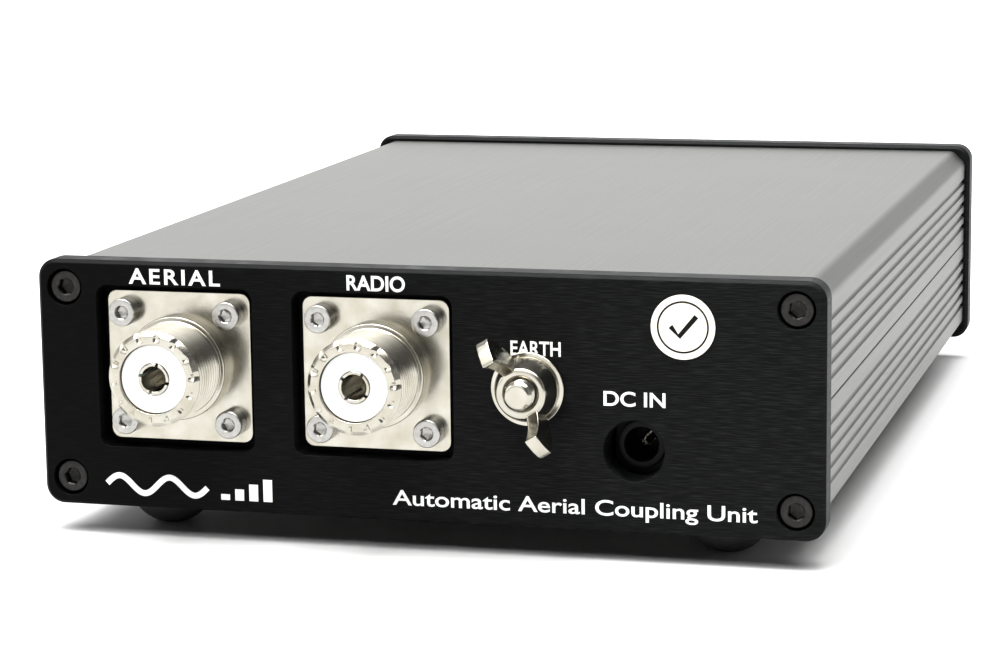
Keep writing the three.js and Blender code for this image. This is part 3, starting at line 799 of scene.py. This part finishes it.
def crossed_slots(width, reach, start, end, place, turn):
    """Two cutters at right angles that split a round tip into four fingers."""
    half = width / 2
    slot = prism([(-half, -reach), (half, -reach), (half, reach), (-half, reach)], start, end)
    return [moved(slot, place, turn), moved(slot, place, turn + RIGHT_ANGLE)]


def coaxial_socket(name):
    centre = centre_mm(name + "_socket_shell")
    place = (centre.x, FLANGE_Y, centre.z)
    socket_shell(name, place)

    outline = [(INSULATOR_BORE, INSULATOR_FRONT), (INSULATOR, INSULATOR_FRONT), (INSULATOR, INSULATOR_BACK),
               (INSULATOR_BORE, INSULATOR_BACK)]
    insulator = turned(softened(outline, [0.1, 0.2, 0.2, 0.2], closed=True), 96, wrap=True)
    shaped(name + "_socket_insulator", [moved(insulator, place)], **finish_of("insulator_white"))

    outline = [(0, -1), (CONTACT_BORE, -1), (CONTACT_BORE, CONTACT_FRONT), (CONTACT, CONTACT_FRONT),
               (CONTACT, CONTACT_BACK), (SOLDER_TAIL, CONTACT_BACK), (SOLDER_TAIL, SOLDER_TAIL_END),
               (0, SOLDER_TAIL_END)]
    contact = turned(softened(outline, [0, 0.2, 0.16, 0.16, 0.2, 0.1, 0.3, 0]), 72)
    slots = crossed_slots(CONTACT_SLOT, 4, -14, -4.1, place, CONTACT_TURN[name])
    shaped(name + "_socket_contact", [moved(contact, place)], cuts=slots, **finish_of("nickel"))

    for corner, (i, k) in CORNERS.items():
        offset = (place[0] + i * FLANGE_SCREW_OFFSET, place[1], place[2] + k * FLANGE_SCREW_OFFSET)
        screw = moved(cap_screw(**FLANGE_SCREW), offset, random.uniform(0, math.pi / 3))
        shaped(f"{name}_socket_screw_{corner}", [screw], **finish_of("screw_stainless"))


# ---- Ground terminal ----

STUD = 2.4
STUD_TIP = -7.5
STUD_THREAD = (-6.9, 5)
STUD_THREAD_DEPTH = 0.42
STUD_THREAD_PITCH = 0.8
STUD_HEAD = (6.4, 9.6)
STUD_HEAD_FLATS = 7.62
WASHER = 6.1
WASHER_BORE = 2.75
WASHER_FACES = (-1.03, -0.03)
NUT_FACES = (-1.09, -5.3)
NUT_BORE = 2.5
NUT_BASE = 5.3
NUT_NECK = 4.05
WING_ROOT = 3.4
WING_ANGLE = math.radians(120)
WING_THICKNESS = 2.2
NUT_VOXEL = 0.13


def ground_terminal():
    centre = centre_mm("ground_washer")
    place = (centre.x, FRONT_Y, centre.z)

    start, end = STUD_THREAD
    inside_head = STUD_HEAD[0] + 0.1
    tip = softened([(0, STUD_TIP), (STUD - 0.5, STUD_TIP), (STUD, start)], [0, 0.4, 0], steps=5)
    body = softened([(STUD, end), (STUD, inside_head), (0, inside_head)], 0)
    screw = thread(STUD, STUD_THREAD_DEPTH, STUD_THREAD_PITCH, start, end, 72)
    head = blunt_prism(lambda inset: hexagon(STUD_HEAD_FLATS - 2 * inset, 72), *STUD_HEAD, 0.3)
    shells = [turned(tip, 72), screw, turned(body, 72), head]
    shaped("ground_stud", [moved(shell, place) for shell in shells], **finish_of("nickel"))

    near, far = WASHER_FACES
    outline = [(WASHER_BORE, near), (WASHER, near), (WASHER, far), (WASHER_BORE, far)]
    washer = turned(softened(outline, 0.2, closed=True), 96, wrap=True)
    shaped("ground_washer", [moved(washer, place)], body="ground_clamp", **finish_of("nickel"))
    wing_nut(place)


def wing_nut(place):
    """A cast wing nut: the hub and both wings merge into one skin, whose corners are then worn soft."""
    base, front = NUT_FACES
    section = [(NUT_BORE, base), (NUT_BASE, base), (NUT_BASE, base - 0.8), (NUT_NECK, front),
               (NUT_BORE + 0.4, front), (NUT_BORE, front + 0.4)]
    profile = softened(section, [0.05, 0.15, 0.25, 0.4, 0.15, 0.1], closed=True)
    outer = curve_through([(4.4, -1.9), (6.2, -2.9), (8.7, -5.4), (10.2, -7.9), (10.5, -9.1)])
    tip = curve_through([(10, -9.9), (8.75, -11), (7.3, -11.8)])
    inner = curve_through([(6.7, -11.97), (6.3, -10.4), (5.2, -7.4), (WING_ROOT, -4.9)])
    outline = [(WING_ROOT, -1.9), *outer, *tip, *inner]
    count = len(outline)
    half = WING_THICKNESS / 2
    wings = []
    for side in (1, -1):
        vertices = [Vector((side * p[0], p[1], z)) for z in (-half, half) for p in outline]
        faces = [(i, (i + 1) % count, (i + 1) % count + count, i + count) for i in range(count)]
        faces += [tuple(range(count)), tuple(range(count, 2 * count))]
        wings.append(moved((vertices, faces), place, -WING_ANGLE))
    hub = moved(turned(profile, 96, wrap=True), place)
    obj = to_object("wing_nut_shape", [hub])
    combine(obj, wings, "UNION")
    skin = obj.modifiers.new("skin", "REMESH")
    skin.mode = "VOXEL"
    skin.voxel_size = NUT_VOXEL * MM
    wear = obj.modifiers.new("wear", "SMOOTH")
    wear.factor = 0.5
    wear.iterations = 12
    bake(obj)
    for polygon in obj.data.polygons:
        polygon.use_smooth = True
    settle(obj, FINISHES["nickel"], "ground_nut", ["wing_nut"])


# ---- Charging socket ----

JACK_FACES = (7.2, 19)
JACK_NOSE = 4.0
JACK_NOSE_FACE = 5.6
JACK_BORE = 2.8
JACK_BORE_DEPTH = 9.4
PIN = 1.0
PIN_FRONT = 7.1
PIN_BACK = 17.5
PIN_SLIT = 0.32
PIN_TURN = 0.3


def charging_socket():
    pin_centre = centre_mm("charger_jack_pin")
    place = (pin_centre.x, FRONT_Y, pin_centre.z)
    low, high = box_mm("charger_jack_body")
    width, height = high.x - low.x, high.z - low.z
    middle = (low.z + high.z) / 2 - place[2]
    face, nose_end = JACK_NOSE_FACE, JACK_FACES[0] + 0.8

    def outline(inset):
        return round_box(width - 2 * inset, height - 2 * inset, 0.6 - inset)

    case = blunt_prism(outline, *JACK_FACES, 0.2)
    profile = [(0, face), (JACK_NOSE, face), (JACK_NOSE, nose_end), (0, nose_end)]
    nose = turned(softened(profile, [0, 0.25, 0, 0]), 96)
    bore = moved(mouth(lambda grow: circle(JACK_BORE + grow, 72), JACK_BORE_DEPTH, 0.3), (0, face, 0))
    hole = prism(circle(PIN + 0.2, 24), 14, PIN_BACK + 0.2)
    shaped("charger_jack_body", [moved(moved(case, (0, 0, middle)), place)], joins=[moved(nose, place)],
           cuts=[moved(bore, place), moved(hole, place)], **finish_of("plastic_black"))

    tip = arc((0, PIN_FRONT + PIN), (PIN, PIN), -RIGHT_ANGLE, 0, 8)
    tail = [(PIN, PIN_BACK - 0.1), (PIN - 0.1, PIN_BACK), (0, PIN_BACK)]
    pin = turned([(p.x, p.y) for p in tip] + tail, 48)
    slits = crossed_slots(PIN_SLIT, 2, 5, 12, place, PIN_TURN)
    shaped("charger_jack_pin", [moved(pin, place)], cuts=slits, **finish_of("nickel"))


# ---- Feet ----

FOOT = 7.6
FOOT_FLAT = 2.5


def feet():
    height = box_mm("front_left_foot")[1].z
    middle = math.sqrt(FOOT ** 2 - FOOT_FLAT ** 2)
    start, end = -math.asin(middle / FOOT), math.asin((height - middle) / FOOT)
    dome = arc((0, middle), (FOOT, FOOT), start, end, 20)
    profile = [(0, 0), (FOOT_FLAT - 0.3, 0), *[(p.x, p.y) for p in dome], (0, height)]
    for node in ("front_left_foot", "front_right_foot", "rear_left_foot", "rear_right_foot"):
        place = centre_mm(node)
        vertices, faces = turned(softened(profile, 0.1, steps=2), 64)
        standing = [Vector((place.x + v.x, place.y - v.z, v.y)) for v in vertices]
        shaped(node, [(standing, faces)], **finish_of("rubber_black"))


# ---- Print and sticker ----

INK = 0.02
PROUD = 0.3 * INK
CAPITAL = 0.72


def lettering(name, text, x, z, height, side=-1, width=None, heavy=0.0, spacing=1.0):
    """Printed letters on an end plate. side -1 is the connector plate, and 1 is the control plate.
    CAPITAL is a capital's height as a share of the font's size."""
    data = bpy.data.curves.new(name, "FONT")
    data.body = text
    data.size = height / CAPITAL * MM
    data.extrude = INK / 2 * MM
    data.offset = heavy * MM
    data.align_x = "CENTER"
    data.space_character = spacing
    flat = bpy.data.objects.new(name, data)
    bpy.context.scene.collection.objects.link(flat)
    bpy.context.view_layer.update()
    mesh = bpy.data.meshes.new_from_object(flat.evaluated_get(bpy.context.evaluated_depsgraph_get()))
    bpy.data.objects.remove(flat)
    natural = max(v.co.x for v in mesh.vertices) - min(v.co.x for v in mesh.vertices)
    squeeze = width * MM / natural if width else 1.0
    face = FRONT_Y if side < 0 else REAR_Y
    for v in mesh.vertices:
        across = -side * v.co.x * squeeze + x * MM
        v.co = (across, face * MM + side * (v.co.z + PROUD * MM), v.co.y + z * MM)
    if side > 0:
        mesh.flip_normals()
    printed = bpy.data.objects.new(name, mesh)
    bpy.context.scene.collection.objects.link(printed)
    settle(printed, FINISHES["print_white"])


def flat_mark(name, outlines, x, z, slot="print_white", y=FRONT_Y):
    """Printed shapes on the connector plate or on the sticker, from outlines in X and Z."""
    shells = [moved(prism(outline, -INK, PROUD), (x, y, z)) for outline in outlines]
    settle(to_object(name, shells), FINISHES[slot])


def band(points, half_width):
    """A ribbon of even width along a line of points, as a closed outline."""
    left, right = [], []
    for i, point in enumerate(points):
        along = Vector(points[min(i + 1, len(points) - 1)]) - Vector(points[max(i - 1, 0)])
        side = Vector((-along.y, along.x)).normalized() * half_width
        left.append(Vector(point) + side)
        right.append(Vector(point) - side)
    return left + right[::-1]


def ring_halves(outer, inner):
    """A flat ring as two half outlines."""
    made = []
    for start in (0, math.pi):
        made.append(arc((0, 0), (outer, outer), start, start + math.pi, 32)
                    + arc((0, 0), (inner, inner), start + math.pi, start, 32))
    return made


def plate_bottom(z):
    return PLATE_LOW.z + z


def front_print():
    lettering("print_aerial", "AERIAL", -42.3, plate_bottom(38.3), 2.6, width=16.2, heavy=0.08,
              spacing=1.22)
    lettering("print_radio", "RADIO", -7.3, plate_bottom(38.35), 2.5, width=10, heavy=0.09)
    lettering("print_earth", "EARTH", 19.6, plate_bottom(28.6), 2.4, width=8.4, heavy=0.07)
    lettering("print_charge", "DC IN", 35.9, plate_bottom(20.9), 2.4, width=10.2, heavy=0.07)
    lettering("print_description", "Automatic Aerial Coupling Unit", 25.5, plate_bottom(2.75), 2.6,
              width=61, heavy=0.05)

    length, crest, steps = 18, 1.45, 60
    shares = [i / steps for i in range(steps + 1)]
    wave = [(length * (share - 0.5), crest * math.sin(4 * math.pi * share)) for share in shares]
    bars = []
    for i in range(4):
        left, right, top = 11.4 + 2.5 * i, 13 + 2.5 * i, -0.9 + 0.93 * i
        bars.append([(left, -1.9), (right, -1.9), (right, top), (left, top)])
    flat_mark("print_wave", [band(wave, 0.52)], -46.5, plate_bottom(3.95))
    flat_mark("print_bars", bars, -46.5, plate_bottom(3.95))


def sticker():
    low, high = box_mm("round_sticker")
    place = ((low.x + high.x) / 2, 0, (low.z + high.z) / 2)
    radius = 5.25
    profile = [(0, low.y), (radius, low.y), (radius, high.y), (0, high.y)]
    disc = turned(softened(profile, [0, 0.06, 0.02, 0]), 96)
    shaped("round_sticker", [moved(disc, place)], **finish_of("sticker_white"))
    tick = band([(-2, 0.1), (-0.6, -1.5), (2.2, 1.8)], 0.4)
    flat_mark("sticker_ring", ring_halves(4.22, 3.94), place[0], place[2], "plastic_black", y=low.y)
    flat_mark("sticker_tick", [tick], place[0], place[2], "plastic_black", y=low.y)


def rear_print():
    for text, node, z in (("TUNE", "tune_button", 12.2), ("POWER", "power_button", 12.2),
                          ("TX", "transmit_lamp", 15.4), ("OK", "ready_lamp", 15.4)):
        x = centre_mm(node).x
        lettering("print_" + text.lower(), text, x, plate_bottom(z), 2.2, side=1, heavy=0.06)


# ---- Controls ----

BUTTON = 4.0
BUTTON_COLLAR = 5.2
PUSH_ROD = 1.5
PLUNGER = 1.6
LAMP = 1.5
LAMP_COLLAR = 1.9
COLLAR_THICKNESS = 1.2
COLLAR_Y = REAR_Y - PLATE_THICKNESS - 0.3


def push_buttons():
    """Each button has a dished cap, a collar behind the plate and a rod to its switch."""
    back, front = COLLAR_Y - COLLAR_THICKNESS, COLLAR_Y
    for name in ("tune", "power"):
        low, high = box_mm(name + "_button")
        x, z = (low.x + high.x) / 2, (low.z + high.z) / 2
        start, end = low.y, high.y
        cap = [(0, start), (PUSH_ROD, start), (PUSH_ROD, back), (BUTTON_COLLAR, back),
               (BUTTON_COLLAR, front), (BUTTON, front), (BUTTON, end), (3, end - 0.05),
               (1.5, end - 0.4), (0, end - 0.5)]
        profile = softened(cap, [0, 0.1, 0.1, 0.2, 0.2, 0.1, 0.45, 0.3, 0.4, 0], steps=4)
        shaped(name + "_button", [moved(turned(profile, 72), (x, 0, z))], body=name + "_key",
               **finish_of("plastic_black"))

        low, high = box_mm(name + "_switch")
        size = high - low
        case = blunt_prism(lambda inset: round_box(size.x - 2 * inset, size.z - 2 * inset, 0.8 - inset),
                           low.y, high.y - 0.6, 0.15)
        stem = [(0, high.y - 1), (PLUNGER, high.y - 1), (PLUNGER, high.y), (0, high.y)]
        plunger = turned(softened(stem, [0, 0, 0.2, 0]), 48)
        shaped(name + "_switch", [moved(case, (x, 0, z)), moved(plunger, (x, 0, z))],
               **finish_of("plastic_black"))


def lamps():
    back, front = COLLAR_Y - COLLAR_THICKNESS, COLLAR_Y
    for node, slot in (("transmit_lamp", "lamp_red"), ("ready_lamp", "lamp_green")):
        low, high = box_mm(node)
        x, z = (low.x + high.x) / 2, (low.z + high.z) / 2
        dome = [(p.x, p.y) for p in arc((0, high.y - LAMP), (LAMP, LAMP), 0, RIGHT_ANGLE, 12)]
        profile = [(0, low.y), (LAMP, low.y), (LAMP, back), (LAMP_COLLAR, back), (LAMP_COLLAR, front),
                   (LAMP, front), *dome[:-1], (0, high.y)]
        shaped(node, [moved(turned(profile, 48), (x, 0, z))], **finish_of(slot))


# ---- Sealed inner parts: the CAD nodes stay, with their finishes ----

def inner_parts():
    slots = {part["node"]: part["material_slot"] for part in frame["record"]["subparts"]}
    for node, obj in frame["nodes"].items():
        if not obj.hide_render:
            obj.data.materials.clear()
            obj.data.materials.append(FINISHES[slots[node]])


# ---- Stage ----

FLOOR_REACH = 6000
FRONT_ROOM = 0.01
BACK_PAPER = 1.8
BACK_PAPER_RIGHT = 0.6
LEFT_PAPER = 0.8
RIGHT_PAPER = 0.35
PAPER_TOP = 0.5
CARD_FOOT = 0.7
CARD_TOP = 2.2
CARD_RIGHT = 0.08
CAMERA_PLACE = (142.745, -561.492, 122.086)
CAMERA_TARGET = (13.69, -93.5, 36.91)
CAMERA_ROLL = math.radians(-0.70)
CAMERA_LENS = 109.76


def stage():
    turns = ((-1, -1), (1, -1), (1, 1), (-1, 1))
    corners = [Vector((i * FLOOR_REACH, k * FLOOR_REACH, 0)) for i, k in turns]
    floor = to_object("floor", [(corners, [(0, 1, 2, 3)])])
    finish = Finish("floor", (0.62, 0.62, 0.62), 0.5, specular=0.08)
    finish.rough(finish.spread(finish.noise(40), 0.46, 0.54))
    floor.data.materials.append(finish.material)

    studio()


def studio():
    """White paper behind and to the sides, and a dark room in front with a white card above the camera
    that only lights reflections. The camera sees plain white."""
    world = bpy.data.worlds.new("studio")
    bpy.context.scene.world = world
    world.use_nodes = True
    tree = world.node_tree

    def node(kind, inputs, **settings):
        return add_node(tree, kind, inputs, settings)

    def part(source, start, end, low, high):
        """Fades from low to high while one component of the direction goes from start to end."""
        inputs = {"Value": source, "From Min": start, "From Max": end, "To Min": low, "To Max": high}
        return node("ShaderNodeMapRange", inputs, interpolation_type="SMOOTHSTEP").outputs["Result"]

    def joined(operation, a, b):
        return node("ShaderNodeMath", {0: a, 1: b}, operation=operation).outputs[0]

    where = node("ShaderNodeTexCoord", {}).outputs["Generated"]
    split = node("ShaderNodeSeparateXYZ", {"Vector": where}).outputs
    behind = part(split["Y"], -0.1, 0.5, FRONT_ROOM, BACK_PAPER)
    behind = joined("MULTIPLY", behind, part(split["X"], -0.07, 0.14, 1, BACK_PAPER_RIGHT))
    left = part(split["X"], -0.5, -0.95, 0, LEFT_PAPER)
    right = part(split["X"], 0.5, 0.95, 0, RIGHT_PAPER)
    around = joined("MAXIMUM", behind, joined("MAXIMUM", left, right))
    paper = joined("MULTIPLY", around, part(split["Z"], 0.22, 0.55, 1, PAPER_TOP))
    rays = node("ShaderNodeLightPath", {}).outputs
    ray = rays["Is Camera Ray"]
    card = part(split["Z"], 0, 0.5, CARD_FOOT, CARD_TOP)
    card = joined("MULTIPLY", card, part(split["Y"], 0.1, -0.2, 0, 1))
    card = joined("MULTIPLY", card, part(split["X"], -0.1, 0.4, 1, CARD_RIGHT))
    light = joined("ADD", paper, joined("MULTIPLY", card, rays["Is Glossy Ray"]))
    white = node("ShaderNodeBackground", {"Color": (1, 1, 1, 1)})
    lit = node("ShaderNodeBackground", {"Color": (1, 1, 1, 1), "Strength": light})
    mix = node("ShaderNodeMixShader", {0: ray, 1: lit.outputs[0], 2: white.outputs[0]})
    tree.links.new(mix.outputs[0], tree.nodes["World Output"].inputs["Surface"])


def soft_sun(name, towards, spread, power):
    """An even soft light that comes from the direction `towards`."""
    data = bpy.data.lights.new(name, "SUN")
    data.energy = power
    data.angle = math.radians(spread)
    made = bpy.data.objects.new(name, data)
    made.rotation_euler = Vector(towards).to_track_quat("Z", "Y").to_euler()
    bpy.context.scene.collection.objects.link(made)


def lights():
    """A wide light overhead, made of three that overlap, and a weaker one in front of the object."""
    soft_sun("overhead_left", (-0.46, -0.08, 1), 34, 2.4)
    soft_sun("overhead", (-0.02, -0.09, 1), 34, 3.4)
    soft_sun("overhead_right", (0.42, -0.08, 1), 34, 2.2)
    soft_sun("front_top", (-0.15, -0.62, 1), 24, 1.5)


def camera():
    """The view from a little to the right of the connector plate and a little above it."""
    place = Vector(CAMERA_PLACE) * MM
    forward = (Vector(CAMERA_TARGET) * MM - place).normalized()
    right = forward.cross(Vector((0, 0, 1))).normalized()
    up = right.cross(forward)
    tilted = right * math.cos(CAMERA_ROLL) + up * math.sin(CAMERA_ROLL)
    upright = up * math.cos(CAMERA_ROLL) - right * math.sin(CAMERA_ROLL)
    data = bpy.data.cameras.new("view")
    data.lens = CAMERA_LENS
    data.sensor_width = 36
    data.clip_start, data.clip_end = 0.01, 50
    made = bpy.data.objects.new("view", data)
    facing = Matrix((tilted, upright, -forward)).transposed().to_4x4()
    made.matrix_world = Matrix.Translation(place) @ facing
    bpy.context.scene.collection.objects.link(made)
    bpy.context.scene.camera = made


# ---- Assembly ----

random.seed(7)
camera()
case_shell("case_upper_shell", 1)
case_shell("case_lower_shell", -1)
connector_plate()
control_plate()
plate_screws()
coaxial_socket("antenna")
coaxial_socket("radio")
ground_terminal()
charging_socket()
feet()
sticker()
front_print()
rear_print()
push_buttons()
lamps()
inner_parts()
stage()
lights()

bpy.context.scene.view_settings.view_transform = "Standard"
bpy.context.scene.view_settings.look = "None"
bpy.context.scene.view_settings.gamma = 0.85
